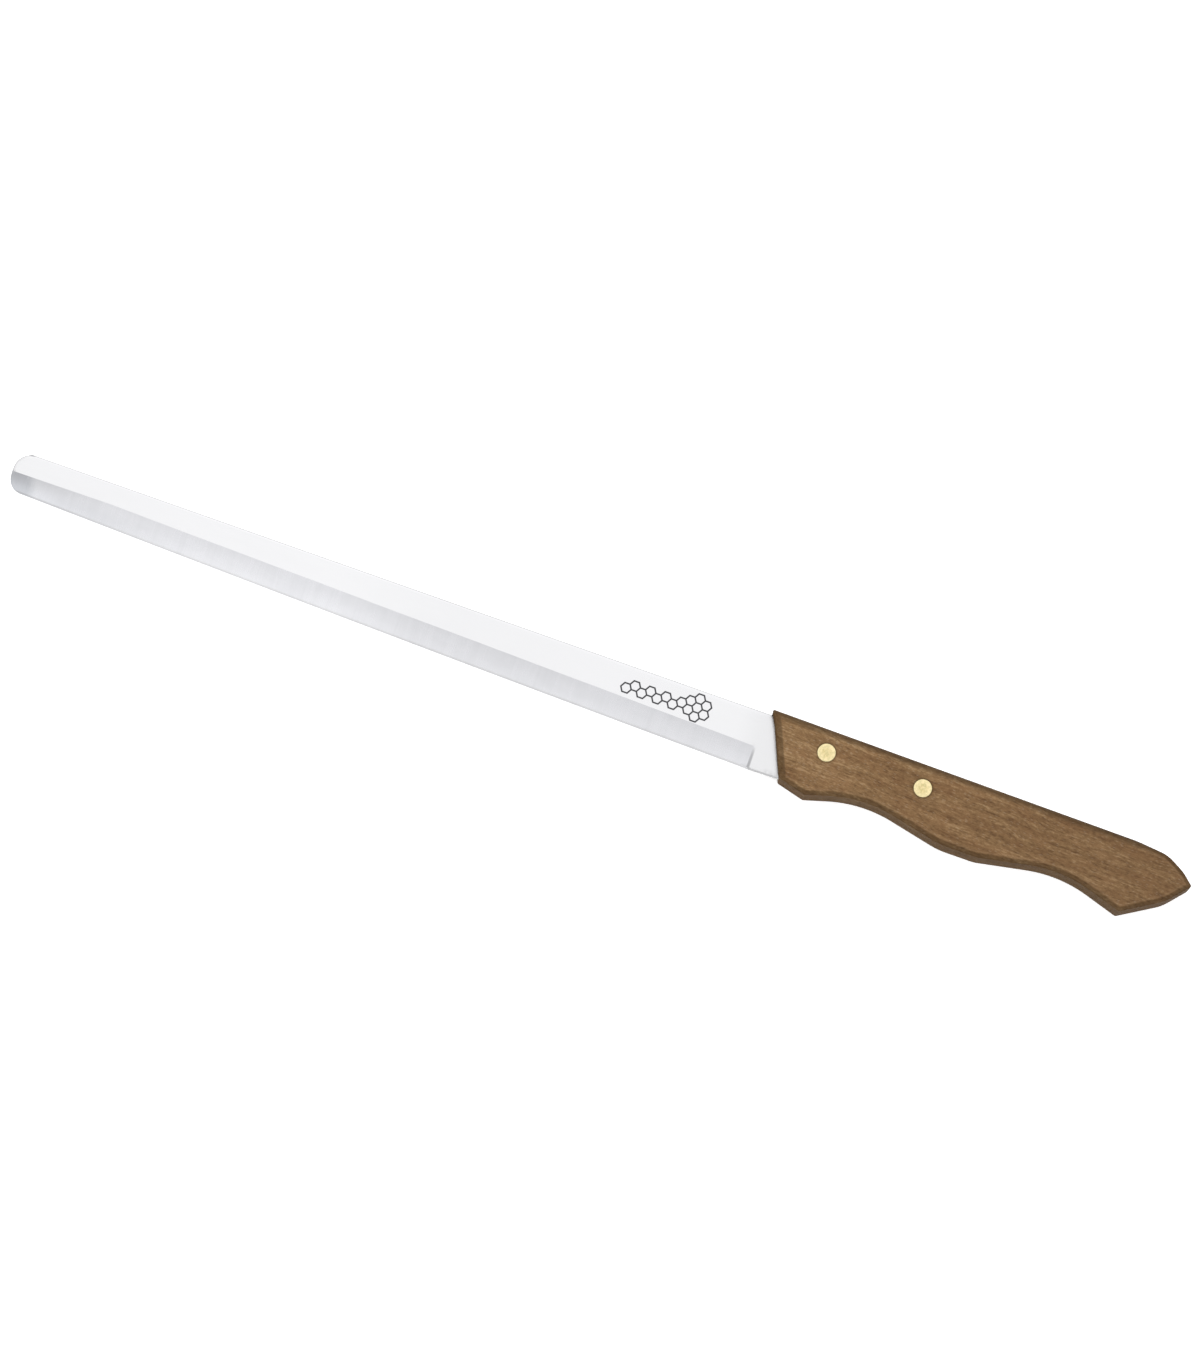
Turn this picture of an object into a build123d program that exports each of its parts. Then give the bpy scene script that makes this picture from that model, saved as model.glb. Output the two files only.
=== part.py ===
from build123d import *
import os

# Uncapping knife for beekeeping: a long straight blade that slices the wax caps off a honeycomb, fixed in a
# one-piece wooden handle by two brass cutler's rivets.
#
# The knife lies on its side. X runs from the tip to the butt, +Y is the spine side, -Y the cutting edge, and Z
# is the thickness, with the handle's lower face at Z = 0. Outlines are drafted in X and Y from the point where
# the line of the spine meets the front of the handle. The finished parts are then moved, so that the origin is
# on the handle's lower face, midway between the rivets. All lengths are in millimetres.

# Blade
BLADE_THICKNESS = 1.8
TIP_X = -246.4
TIP_LEAN = 0.7          # the edge-side end of the tip stands this far behind the spine-side end
TIP_WIDTH = 12.6
TIP_SPINE_RADIUS = 5.5
TIP_EDGE_RADIUS = 4.8
SPINE_EDGE_RADIUS = 0.35  # the long corners of the spine are eased, and so is the rim of the tip
HEEL_X = -1.4           # where the ground bevel stops, in front of the handle
HEEL_WIDTH = 18.3
RICASSO_WIDTH = 18.0    # width of the unground steel where it enters the handle
EDGE_BOW = 0.45         # how far the cutting edge bulges beyond a straight line

# Bevel, the same on both sides
RIDGE_AT_TIP = 5.95     # depth below the spine of the line between flat and bevel
RIDGE_AT_HEEL = 11.0
HOLLOW = 0.07           # how far the bevel dips below a straight slope
HONED_WIDTH = 0.6       # the narrow honed bevel along the cutting edge
HONED_THICKNESS = 0.36  # blade thickness where the honed bevel starts
EDGE_THICKNESS = 0.1
TIP_RUNOUT = 0.22       # extra metal taken off each side at the very tip
TIP_RIDGE_DIP = 0.9     # the ridge turns down by this much as it reaches the tip
RUNOUT_LENGTH = 32.0    # both build up over this length

# Tang, hidden in the handle
FRONT_AT_HEEL_X = 8.1   # where the cutting-edge side of the blade meets the front of the handle
SHOULDER_DEPTH = 2.5    # how far the full blade width goes into the wood
SPINE_SHOULDER_X = 5.6  # where the spine side steps down to the tang
TANG_END_X = 62.0
TANG_CORNERS = [        # spine side first, from the shoulder to the end and back
    (7.0, -1.7),
    (TANG_END_X, -2.6),
    (TANG_END_X, -11.2),
    (14.0, -14.6),
]
TANG_END_RADIUS = 3.5

# Handle: corner points of its side outline, each with the radius that rounds it
HANDLE_THICKNESS = 12.5
HANDLE_FACE_RADIUS = 1.2
HANDLE_OUTLINE = [
    ((-0.5, 0.95), 0.4),        # front top corner
    ((117.5, -0.1), 45.0),      # back starts to fall
    ((127.6, -1.05), 12.0),
    ((133.7, -4.45), 12.0),
    ((137.4, -7.75), 0.4),      # butt point
    ((131.4, -14.75), 14.0),    # bend in the end face
    ((118.9, -22.5), 1.0),      # lower rear corner
    ((98.8, -16.3), 41.0),      # hollow for the little finger
    ((72.8, -21.4), 12.0),      # belly, rear end
    ((61.1, -21.4), 25.0),      # belly, front end
    ((34.7, -15.6), 41.0),      # hollow for the forefinger
    ((17.2, -20.8), 1.0),       # finger stop
    ((8.35, -18.5), 0.6),       # front lower corner
    ((1.7, -3.1), 8.0),         # the front flares a little towards the top corner
]

# Rivets: each is a tube with a head below and a pin with a head above, pressed together
RIVET_PLACES = {"front": (19.4, -6.4), "rear": (50.6, -6.9)}
HEAD_DIAMETER = 5.7
HEAD_THICKNESS = 1.3
HEAD_CHAMFER = 0.15
TUBE_DIAMETER = 4.0
TUBE_LENGTH = 9.0       # from the lower face up, head included
PIN_DIAMETER = 2.9
PIN_END_Z = 3.2
BORE_END_Z = 2.6

MID_Z = HANDLE_THICKNESS / 2
SHOULDER_X = FRONT_AT_HEEL_X + SHOULDER_DEPTH
BEVEL_STATIONS = 5
CUTTER_MARGIN = 1.5     # how far cutting bodies reach beyond the metal


def rounded(face, corners):
    """The flat face with the corner nearest to each given point rounded to its radius."""
    for point, radius in corners:
        corner = face.vertices().sort_by_distance(point)[0]
        face = fillet(corner, radius)
    return face


def edge_y(x):
    """Y of the cutting edge at x: a straight taper with a slight bulge."""
    along = (x - TIP_X) / (HEEL_X - TIP_X)
    return -(TIP_WIDTH + (HEEL_WIDTH - TIP_WIDTH) * along + 4 * EDGE_BOW * along * (1 - along))


def ridge_y(x):
    """Y of the straight line between the flat of the blade and its bevel."""
    along = (x - TIP_X) / (HEEL_X - TIP_X)
    return -(RIDGE_AT_TIP + (RIDGE_AT_HEEL - RIDGE_AT_TIP) * along)


def tang_outline():
    """The steel from just in front of the handle to the end of the tang, seen from the side."""
    corners = [
        (HEEL_X, 0),
        (SPINE_SHOULDER_X, 0),
        *TANG_CORNERS,
        (SHOULDER_X, -RICASSO_WIDTH),
        (HEEL_X, -HEEL_WIDTH),
    ]
    face = make_face(Polyline(*corners, close=True))
    return rounded(face, [(TANG_CORNERS[1], TANG_END_RADIUS), (TANG_CORNERS[2], TANG_END_RADIUS)])


def blade_outline():
    """The exposed steel seen from the side, from the rounded tip to the heel of the bevel."""
    tip_spine = (TIP_X, 0)
    tip_edge = (TIP_X + TIP_LEAN, edge_y(TIP_X))
    middle_x = (TIP_X + HEEL_X) / 2
    heel_edge = (HEEL_X, -HEEL_WIDTH)
    lines = Polyline(heel_edge, (HEEL_X, 0), tip_spine, tip_edge)
    edge = ThreePointArc(tip_edge, (middle_x, edge_y(middle_x)), heel_edge)
    face = make_face(lines + edge)
    return rounded(face, [(tip_spine, TIP_SPINE_RADIUS), (tip_edge, TIP_EDGE_RADIUS)])


def bevel_section(x):
    """The space that grinding clears above the bevel at x, in the plane across the blade."""
    half = BLADE_THICKNESS / 2
    runout = min(1.0, max(0.0, 1 - (x - TIP_X) / RUNOUT_LENGTH))
    ridge = (ridge_y(x) - TIP_RIDGE_DIP * runout, half)
    honed = (edge_y(x) + HONED_WIDTH, HONED_THICKNESS / 2)
    middle = ((ridge[0] + honed[0]) / 2, (ridge[1] + honed[1]) / 2 - HOLLOW - TIP_RUNOUT * runout)
    edge = (edge_y(x), EDGE_THICKNESS / 2)
    outside = edge_y(x) - CUTTER_MARGIN
    above = half + CUTTER_MARGIN
    ground = ThreePointArc(ridge, middle, honed)
    rest = Polyline(honed, edge, (outside, EDGE_THICKNESS / 2), (outside, above), (ridge[0], above), ridge)
    # local X of this plane is the knife's Y, and local Y is the knife's Z
    across = Plane(origin=(x, 0, 0), x_dir=(0, 1, 0), z_dir=(1, 0, 0))
    return across * make_face(ground + rest)


def bevel_cutter():
    """What grinding takes off the upper side of the blade, with the blade's middle plane at Z = 0."""
    first = TIP_X - CUTTER_MARGIN
    run_end = TIP_X + RUNOUT_LENGTH
    step = (HEEL_X - run_end) / (BEVEL_STATIONS - 1)
    tip = loft([bevel_section(first), bevel_section(run_end)], ruled=True)
    body = loft([bevel_section(run_end + step * i) for i in range(BEVEL_STATIONS)])
    return [tip, body]


def rivet_hole(place, diameter, bottom, top):
    """A round bar through the knife at a rivet, for cutting a hole."""
    return Pos(*place, bottom) * extrude(Circle(diameter / 2), top - bottom)


def steel_blank():
    """Tip, blade and tang cut from one sheet, with its middle plane at Z = 0."""
    blank = extrude(blade_outline() + tang_outline(), BLADE_THICKNESS)
    spine = blank.edges().filter_by(Axis.X).group_by(Axis.Y)[-1]
    return Pos(0, 0, -BLADE_THICKNESS / 2) * fillet(spine, SPINE_EDGE_RADIUS)


def make_blade():
    """The steel part: ground on both sides, with a hidden tang that the rivets pass through."""
    blade = steel_blank()
    for cutter in bevel_cutter():
        blade -= cutter
        blade -= mirror(cutter, about=Plane.XY)
    blade = Pos(0, 0, MID_Z) * blade
    for place in RIVET_PLACES.values():
        blade -= rivet_hole(place, TUBE_DIAMETER, 0, HANDLE_THICKNESS)
    return blade


def make_handle():
    """The one-piece wooden handle, with a blind slot for the tang and countersunk rivet holes."""
    corners = [point for point, radius in HANDLE_OUTLINE]
    face = rounded(make_face(Polyline(*corners, close=True)), HANDLE_OUTLINE)
    handle = extrude(face, HANDLE_THICKNESS)
    rims = handle.edges().filter_by(Plane.XY)
    handle = fillet(rims, HANDLE_FACE_RADIUS)
    handle -= Pos(0, 0, MID_Z) * steel_blank()
    for place in RIVET_PLACES.values():
        handle -= rivet_hole(place, TUBE_DIAMETER, 0, TUBE_LENGTH)
        handle -= rivet_hole(place, PIN_DIAMETER, TUBE_LENGTH, HANDLE_THICKNESS)
        handle -= rivet_hole(place, HEAD_DIAMETER, 0, HEAD_THICKNESS)
        handle -= rivet_hole(place, HEAD_DIAMETER, HANDLE_THICKNESS - HEAD_THICKNESS, HANDLE_THICKNESS)
    return handle


def make_rivet_tube(place):
    """The lower half of a rivet: a flat head with a tube standing on it."""
    head = extrude(Circle(HEAD_DIAMETER / 2), HEAD_THICKNESS)
    head = chamfer(head.edges().sort_by(Axis.Z)[0], HEAD_CHAMFER)
    tube = extrude(Circle(TUBE_DIAMETER / 2), TUBE_LENGTH)
    bore = Pos(0, 0, BORE_END_Z) * extrude(Circle(PIN_DIAMETER / 2), TUBE_LENGTH)
    return Pos(*place, 0) * (head + tube - bore)


def make_rivet_pin(place):
    """The upper half of a rivet: a flat head with a solid pin that is pressed down into the tube."""
    head = Pos(0, 0, HANDLE_THICKNESS - HEAD_THICKNESS) * extrude(Circle(HEAD_DIAMETER / 2), HEAD_THICKNESS)
    head = chamfer(head.edges().sort_by(Axis.Z)[-1], HEAD_CHAMFER)
    pin = Pos(0, 0, PIN_END_Z) * extrude(Circle(PIN_DIAMETER / 2), HANDLE_THICKNESS - HEAD_THICKNESS - PIN_END_Z)
    return Pos(*place, 0) * (head + pin)


def main():
    parts = {"blade": make_blade(), "handle": make_handle()}
    for name, place in RIVET_PLACES.items():
        parts[f"{name}_rivet_tube"] = make_rivet_tube(place)
        parts[f"{name}_rivet_pin"] = make_rivet_pin(place)
    places = list(RIVET_PLACES.values())
    origin_x = sum(x for x, y in places) / len(places)
    origin_y = sum(y for x, y in places) / len(places)
    os.makedirs("parts", exist_ok=True)
    for name, shape in parts.items():
        export_step(Pos(-origin_x, -origin_y, 0) * shape, f"parts/{name}.step")


main()
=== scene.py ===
"""Looks of an uncapping knife: a long ground steel blade in a wooden handle held by two brass rivets.

The knife lies on its side on a pale floor. X runs from the tip to the butt, +Y is the spine side and Z the
thickness. Shapes are drafted in millimetres, as in the CAD part, and placed by the CAD boxes. Colours are
linear.
"""

import math

import bmesh
import bpy
import numpy as np
from mathutils import Matrix, Vector, noise
from mathutils.geometry import delaunay_2d_cdt


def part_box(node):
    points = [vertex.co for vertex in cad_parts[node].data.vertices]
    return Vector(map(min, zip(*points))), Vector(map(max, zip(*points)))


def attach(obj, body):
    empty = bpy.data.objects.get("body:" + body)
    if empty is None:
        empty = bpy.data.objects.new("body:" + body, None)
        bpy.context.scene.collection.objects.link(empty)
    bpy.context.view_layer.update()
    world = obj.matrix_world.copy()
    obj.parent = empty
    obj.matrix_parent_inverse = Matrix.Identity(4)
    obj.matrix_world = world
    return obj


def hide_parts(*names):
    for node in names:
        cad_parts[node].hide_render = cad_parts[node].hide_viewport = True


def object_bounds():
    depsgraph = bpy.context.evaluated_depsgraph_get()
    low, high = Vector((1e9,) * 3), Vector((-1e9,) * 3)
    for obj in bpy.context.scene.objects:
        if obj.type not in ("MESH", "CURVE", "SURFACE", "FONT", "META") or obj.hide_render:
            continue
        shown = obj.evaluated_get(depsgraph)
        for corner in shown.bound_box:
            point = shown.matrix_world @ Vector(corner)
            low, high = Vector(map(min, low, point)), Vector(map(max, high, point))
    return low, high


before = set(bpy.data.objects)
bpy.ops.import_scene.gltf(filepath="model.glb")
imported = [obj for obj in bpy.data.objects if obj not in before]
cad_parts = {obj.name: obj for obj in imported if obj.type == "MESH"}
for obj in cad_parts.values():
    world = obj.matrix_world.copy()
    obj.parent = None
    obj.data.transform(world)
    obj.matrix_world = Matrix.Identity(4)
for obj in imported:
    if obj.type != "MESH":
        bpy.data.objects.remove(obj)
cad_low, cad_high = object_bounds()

MM = 0.001

# Camera: above the knife, a little to the cutting-edge side, with the knife sloping down to the right
IMAGE_WIDTH = 1200
IMAGE_HEIGHT = 1372
PIXELS_PER_MM = 3.25
CAMERA_DISTANCE = 1600.0
TOWARDS_CAMERA = Vector((0.0505, -0.1780, 0.9827)).normalized()
CAMERA_UP = Vector((-0.3320, 0.9250, 0.1846))
SENSOR = 36.0
FRAME_NUDGE = (0.25, 0.13)  # how far right of and above the middle the knife sits
AIM_ROUNDS = 6

# Studio, in metres
FLOOR_SIZE = 4.0
FLOOR_GAP = 0.0001
FLOOR_GLOW = 0.45  # the floor gives off some light of its own, so that shadows on it stay faint
SKY_AXIS = Vector((-0.03, 0.31, 0.95)).normalized()  # the brightest part of the sky
SKY_SPREAD = math.radians(18)
SKY_BASE = 0.85
SKY_PEAK = 0.75
LIGHT_PLACE = (-0.1, 0.1, 1.3)
LIGHT_SIZE = (1.2, 1.0)
LIGHT_POWER = 8.5

# Mesh fineness
CORNER_TURN = 0.16  # largest turn between neighbouring points of a rounded corner, in radians
HOLE_SIDES = 72
RIVET_SIDES = 96

# Handle: corners of its side outline (x, y, rounding radius), from the spine line at the handle's front
HANDLE_OUTLINE = [
    (-0.5, 0.95, 0.4),  # front top corner
    (117.5, -0.1, 45.0),  # back starts to fall
    (127.6, -1.05, 12.0),
    (133.7, -4.45, 12.0),
    (137.4, -7.75, 0.4),  # butt point
    (131.4, -14.75, 14.0),  # bend in the end face
    (118.9, -22.5, 1.0),  # lower rear corner
    (98.8, -16.3, 41.0),  # hollow for the little finger
    (72.8, -21.4, 12.0),  # belly, rear end
    (61.1, -21.4, 25.0),  # belly, front end
    (34.7, -15.6, 41.0),  # hollow for the forefinger
    (17.2, -20.8, 1.0),  # finger stop
    (8.35, -18.5, 0.6),  # front lower corner
    (1.7, -3.1, 8.0),  # the front flares a little towards the top corner
]
FRONT_LINE = ((0.0, 0.8), (8.5, -18.7))  # the front of the handle, but for the flare of its top corner
BACK_LINE = ((117.5, -0.1), (0.0, 0.8))  # its straight back
FACE_RADIUS = 1.2
FACE_ROUNDING_ANGLES = (9, 18, 28, 38, 48, 59, 70, 80, 90)  # mesh rings over the rounded rim, in degrees
FACE_RINGS = (1.45, 1.75, 2.1, 2.5)  # depths of more mesh rings inside it
SANDING_DEPTH = 0.035  # how deep the hand-sanded faces dip
SANDING_FADE = 3.0  # the dips reach their depth this far from the side
SANDING_WAVES = 0.09  # per millimetre
UPPER_SEED = 3.1
LOWER_SEED = 8.7
HANDLE_STEP = 0.55  # spacing of mesh points along the outline
HANDLE_GRID = 0.85  # and over the broad faces
HANDLE_ROWS = 13  # rows of mesh faces down the side
CLEAR_OF_RINGS = 0.4  # the grid stays this far from the rings inside the rim
CLEAR_OF_LIP = 0.5  # and this far from the recesses

# Recesses in the wood for the rivet heads
LIP_WIDTH = 0.08
LIP_ROUNDING = ((0.03, 0.07), (0.01, 0.12), (0.0, 0.2))  # beyond the head's radius, and below the face
LIP_RINGS = (0.12, 0.35)  # mesh rings this far outside the lip
LIP_DIP = 0.03  # the wood is sanded down this much beside the head
LIP_DIP_SPREAD = 0.08  # square of the width of that dip

# Blade
TIP_X = -246.4
TIP_LEAN = 0.7
TIP_WIDTH = 12.6
TIP_SPINE_RADIUS = 5.5
TIP_EDGE_RADIUS = 4.8
HEEL_X = -1.4
HEEL_WIDTH = 18.3
EDGE_BOW = 0.45
EDGE_START = 8.0  # the bowed edge starts this far behind the tip, as this many straight runs
EDGE_RUNS = 29
RIDGE_AT_TIP = 5.95
RIDGE_AT_HEEL = 11.0
HOLLOW = 0.07
HONED_WIDTH = 0.6
HONED_HALF = 0.18
EDGE_HALF = 0.05
TIP_RUNOUT = 0.22
TIP_RIDGE_DIP = 0.9
RUNOUT_LENGTH = 32.0
RIM_RADIUS = 0.35  # the rims of the spine, tip and ricasso are eased
TIP_RIM_END = 4.0  # at the tip as far back as this
RIM_ROUNDING_ANGLES = (22, 45, 67, 90)
PLUNGE_WIDTH = 0.9  # the bevel ends in a rounded step this wide
PLUNGE_X = HEEL_X - PLUNGE_WIDTH
TANG = [  # corners (x, y, rounding radius) of the steel in the handle, spine side first
    (5.6, 0.0, 0),
    (7.0, -1.7, 0),
    (62.0, -2.6, 3.5),
    (62.0, -11.2, 3.5),
    (14.0, -14.6, 0),
    (10.6, -18.0, 0),
]
TANG_HOLE_RADIUS = 2.0
SLOT_GAP = 0.05

# Unevenness of the hand grinding
RIDGE_WAVES = ((0.06, 5.5, 0.05), (0.03, 9.1, 0.21))  # height, seed and waves per millimetre
RIDGE_WAVE_FADE = 12.0
BEVEL_WAVES = (0.012, 2.2, 0.16)
BEVEL_WAVES_ACROSS = 0.15  # they are this many times as frequent across the blade

# Mesh of the blade
BLADE_STEP = 0.9  # spacing of mesh points along its outline
GRIND_STEP = 1.0  # and along the ridge and the honed line
STATION_STEP = 0.8  # spacing of the rows of points across flat and bevel
FLAT_SHARES = (0.12, 0.3, 0.5, 0.7, 0.88)  # a row's points on the flat, from the ridge to the spine
BEVEL_PARTS = 10  # parts into which a row's points divide the bevel
PLUNGE_COLUMNS = (-0.2, -0.1, 0.0, 0.1)  # columns of points at the heel
PLUNGE_ROWS = 14
HEEL_ROWS = 26
TANG_GRID = ((HEEL_X + 1.0, 61.0, 1.6), (-17.5, -0.8, 1.5))  # x and y: from, to and step
CLEAR_OF_OUTLINE = 0.12  # single points stay this far inside the outline,
CLEAR_OF_RIM = 0.15  # this far inside the eased rims
CLEAR_OF_HOLE = 0.3  # and this far from the holes
TOUCHING = 2e-3  # a point this close to a line is on it

# Rivets
HEAD_THICKNESS = 1.3
HEAD_GAP = 0.03  # round the head
HEAD_CROWN = 0.03
HEAD_EDGE = 0.1
HEAD_EDGE_ANGLES = (0, 22, 45, 67, 90)
HEAD_RING_STEP = 0.25
FACE_SINK = 0.03  # how far its middle is below the CAD face
FACE_BAND = 0.5  # points of the profile this close to the face in z belong to it
PEEN_DEPTH = 0.022  # small dents in the middle of the face
PEEN_WAVES = 1.3
PEEN_SEED = 4.0
PEEN_MARGIN = 0.35  # they stop this far inside the head's radius
PEEN_FADE = 0.4
SEAT_GAP = 0.01
FIT_GAP = 0.02
TUBE_RADIUS = 2.0
TUBE_LENGTH = 9.0
TUBE_END_GAP = 0.02
TUBE_END_BEVEL = (0.12, 0.13)
PIN_RADIUS = 1.45
PIN_END_Z = 3.2
PIN_END_BEVEL = 0.3
BORE_END_Z = 2.6

# Steel
STEEL = (0.65, 0.65, 0.66)
GROUND_STEEL = (0.65, 0.652, 0.675)
HONED_STEEL = (0.72, 0.72, 0.735)
RIM_SHADE_STEEL = (0.10, 0.10, 0.105)  # painted shade: dark on rims and walls that turn away from the face
TIP_SHADE_STEEL = (0.20, 0.22, 0.25)  # painted shade at the tip, standing for its darker reflection
ETCHED_STEEL = (0.045, 0.045, 0.050)
PAINTED_LIGHT_X = -120.0  # painted light: the steel is painted a little brighter on the tip side of here, and darker on the heel side
PAINTED_LIGHT_FADE = 22.0
RICASSO_PAINTED_SHADE = 0.94  # and painted shade: darker beside the handle
RICASSO_FADE = (-9.0, 1.0)  # from and to, counted from the heel
TIP_FADE = (1.0, 0.35, 0.0)  # the painted shade at the tip ends along a line that is square to this
TIP_WAVER = 2.0  # and wavers this much
TIP_SHADE_FADE = (9.5, 5.5)  # it fades in between these distances from the tip
TIP_TAIL_FADE = (62.0, 14.0)  # and its fainter tail between these
TIP_TAIL_DEPTHS = (7.5, 12.5)  # the tail is stronger towards the cutting edge: from and to below the spine
TIP_TAIL_SHARES = (0.02, 0.20)

# Etched mark in front of the handle: comb cells
CELL = 2.9  # width between flats
CELL_WALL = 0.48
CELL_BLUR = 0.05
MARK_PLACE = (-22.5, -5.7)
MARK_CHAIN = 8  # cells in the single row that runs from the cluster towards the tip

# Wood
GRAIN_TURN = math.radians(3)  # the grain runs this much off the knife's length
GRAIN_SWAY = 5.0  # and wanders this far
WOOD_TONES = [
    (0.40, (0.086, 0.043, 0.0160)),
    (0.46, (0.143, 0.079, 0.0330)),
    (0.53, (0.200, 0.117, 0.0520)),
    (0.59, (0.292, 0.186, 0.0940)),
]
WOOD_RED = (0.190, 0.092, 0.038)
WOOD_GLINT = (0.330, 0.245, 0.165)
WOOD_PORE = (0.070, 0.036, 0.016)
WOOD_DASH = (0.080, 0.042, 0.018)
WOOD_RIM_HIGHLIGHT = (0.300, 0.220, 0.140)
WOOD_SIDE_SHADE = (0.024, 0.013, 0.003)
WOOD_EDGE_SHADE = (0.020, 0.020, 0.020)
WOOD_DIRT = (0.050, 0.030, 0.006)
GRIP_DARKENING = 0.26
SIDE_NORMAL = 0.6  # faces whose normal has less of Z than this count as the handle's sides
RIM_DEPTH = 1.25  # the painted shade on the rim reaches this far in from the side
RIM_BLUR = 0.3  # and fades over this much to either side of that depth
FRONT_RIM_DEPTH = 1.9  # it is wider at the front
BACK_RIM_DEPTH = 1.8  # and softer at the back, with a thin painted shade line at its outside
BACK_RIM_BLUR = 0.85
BACK_EDGE_DEPTH = 0.95
BACK_EDGE_BLUR = 0.25
BACK_EDGE_SHADE = 0.22

# Brass
BRASS_DULL = (0.58, 0.48, 0.235)
BRASS_BRIGHT = (0.71, 0.605, 0.34)
BRASS_SCRATCH = (0.50, 0.42, 0.20)
BRASS_RUBBED = (0.83, 0.71, 0.43)
RUBBED_FROM = (0.9, 2.1)  # heads are rubbed bright outside this radius


# ---- outlines

def corner_loop(corners, step):
    """A closed loop of points, at most step apart, through (x, y, radius) corners rounded to their radius."""
    arcs = []
    for i, (x, y, radius) in enumerate(corners):
        here = np.array((x, y), float)
        back = np.array(corners[i - 1][:2], float) - here
        ahead = np.array(corners[(i + 1) % len(corners)][:2], float) - here
        back /= np.linalg.norm(back)
        ahead /= np.linalg.norm(ahead)
        if radius == 0:
            arcs.append([here])
            continue
        half = math.acos(np.clip(back @ ahead, -1, 1)) / 2
        middle = (back + ahead) / np.linalg.norm(back + ahead)
        centre = here + middle * radius / math.sin(half)
        start = here + back * radius / math.tan(half) - centre
        end = here + ahead * radius / math.tan(half) - centre
        first = math.atan2(start[1], start[0])
        sweep = (math.atan2(end[1], end[0]) - first + math.pi) % (2 * math.pi) - math.pi
        count = max(2, math.ceil(abs(sweep) * radius / step), math.ceil(abs(sweep) / CORNER_TURN))
        angles = first + sweep * np.arange(count + 1) / count
        arcs.append(list(centre + radius * np.c_[np.cos(angles), np.sin(angles)]))
    loop = []
    for i, arc in enumerate(arcs):
        loop.extend(arc)
        gap = arcs[(i + 1) % len(arcs)][0] - arc[-1]
        count = int(np.linalg.norm(gap) / step)
        loop.extend(arc[-1] + gap * (k / (count + 1)) for k in range(1, count + 1))
    loop = np.array(loop)
    apart = np.linalg.norm(loop - np.roll(loop, 1, axis=0), axis=1) > 1e-3
    return loop[apart]


def distance(points, chain, closed=True):
    """Distance of each point to a chain of straight segments."""
    at_once = 1000  # keeps the arrays small
    start = chain if closed else chain[:-1]
    run = (np.roll(chain, -1, axis=0) if closed else chain[1:]) - start
    length2 = (run ** 2).sum(1)
    found = np.empty(len(points))
    for k in range(0, len(points), at_once):
        away = points[k:k + at_once, None] - start[None]
        along = np.clip((away * run).sum(2) / length2, 0, 1)
        found[k:k + at_once] = np.sqrt(((away - along[..., None] * run) ** 2).sum(2)).min(1)
    return found


def inside(points, loop):
    """Whether each point is inside a closed loop."""
    x, y = points[:, 0], points[:, 1]
    odd = np.zeros(len(points), bool)
    for (x0, y0), (x1, y1) in zip(loop, np.roll(loop, -1, axis=0)):
        if y0 != y1:
            crosses = (y0 > y) != (y1 > y)
            odd ^= crosses & (x < (x1 - x0) * (y - y0) / (y1 - y0) + x0)
    return odd


def inner_rings(loop, depths):
    """Points at the given depths inside a loop, on lines square to it, without any that overrun a corner."""
    ahead = np.roll(loop, -1, axis=0) - loop
    ahead /= np.linalg.norm(ahead, axis=1)[:, None]
    along = ahead + np.roll(ahead, 1, axis=0)
    along /= np.linalg.norm(along, axis=1)[:, None]
    area = (loop[:, 0] * np.roll(loop[:, 1], -1) - loop[:, 1] * np.roll(loop[:, 0], -1)).sum()
    inward = np.c_[-along[:, 1], along[:, 0]] * math.copysign(1, area)
    rings = []
    for depth in depths:
        ring = loop + inward * depth
        rings.append(ring[distance(ring, loop) > 0.96 * depth - 0.002])
    return np.concatenate(rings)


def rounding_depths(radius, angles):
    """How far in from the side a quarter-round rim of this radius has turned by each angle in degrees."""
    return radius * (1 - np.cos(np.radians(angles)))


def circle(centre, radius, count):
    angles = 2 * math.pi * np.arange(count) / count
    return np.array(centre) + radius * np.c_[np.cos(angles), np.sin(angles)]


def smooth_step(t):
    t = np.clip(t, 0, 1)
    return t * t * (3 - 2 * t)


def ripple(x, y, seed, fine):
    """Slow waves between -1 and 1 over a surface, about fine to the millimetre, the same at each run."""
    at = np.c_[np.asarray(x) * fine, np.asarray(y) * fine, np.full(len(x), seed)]
    return np.array([noise.noise(Vector(p)) for p in at])


# ---- mesh making

def triangulate(loops, chains, inner):
    """Fills the first loop with triangles whose edges follow every loop and chain. Returns the points, the
    triangles and the numbers of each loop's points."""
    points = []
    edges = []
    members = []
    for line in [*loops, *chains]:
        ids = list(range(len(points), len(points) + len(line)))
        points.extend(line)
        edges.extend(zip(ids, ids[1:]))
        if len(members) < len(loops):
            edges.append((ids[-1], ids[0]))
            members.append(ids)
    points.extend(inner)
    flat, _, faces, origins, _, _ = delaunay_2d_cdt([Vector(p) for p in points], edges, [], 1, 1e-6)
    where = {old: new for new, olds in enumerate(origins) for old in olds}
    members = [[where[i] for i in ids] for ids in members]
    return np.array([tuple(p) for p in flat]), faces, members


def stitch(mesh, rings):
    """Quads between closed rings of vertices."""
    for one, two in zip(rings, rings[1:]):
        for i in range(len(one)):
            j = (i + 1) % len(one)
            mesh.faces.new((one[i], one[j], two[j], two[i]))


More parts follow.
